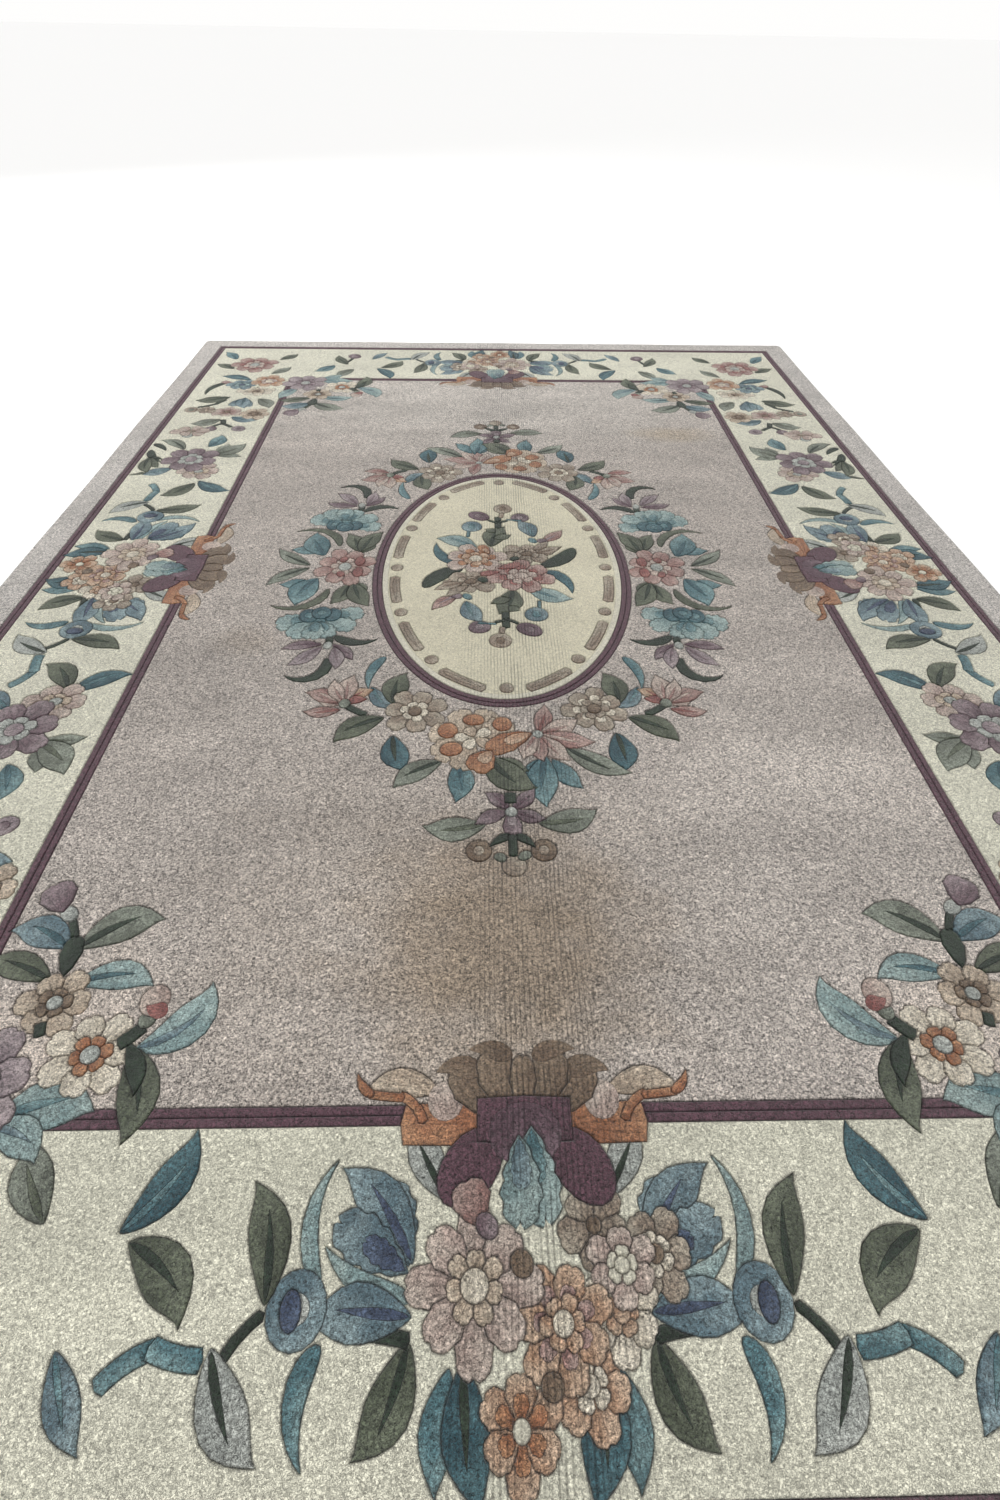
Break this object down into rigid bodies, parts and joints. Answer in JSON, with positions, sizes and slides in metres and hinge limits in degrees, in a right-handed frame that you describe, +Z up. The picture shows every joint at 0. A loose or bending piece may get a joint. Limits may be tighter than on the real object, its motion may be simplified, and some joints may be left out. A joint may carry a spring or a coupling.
{
  "type": "carved floral wool pile rug",
  "caption": "Large rectangular hand-knotted wool pile rug with an oval floral medallion, flower borders and carved outlines, lying flat.",
  "frame": {"origin": "middle of the underside, on the floor", "axes": "+Z up from the floor to the pile, +Y along the rug's length, +X across its width"},
  "size_m": [2.44, 3.46, 0.013],
  "materials": {
    "field_wool": "cut wool pile, dusty mauve taupe, mottled",
    "cream_wool": "cut wool pile, cream, of the border and medallion grounds and pale petals",
    "plum_wool": "cut wool pile, dark plum, of the guard lines, the ring and the vessels",
    "leaf_wool": "cut wool pile, teals, blues and grey-greens of the leaves and stems",
    "blossom_wool": "cut wool pile, pinks, mauves, peach and orange of the flowers",
    "foundation_cotton": "woven cotton foundation with the backs of the knots"
  },
  "bodies": {
    "root": {"rug": "field_wool"}
  },
  "joints": []
}
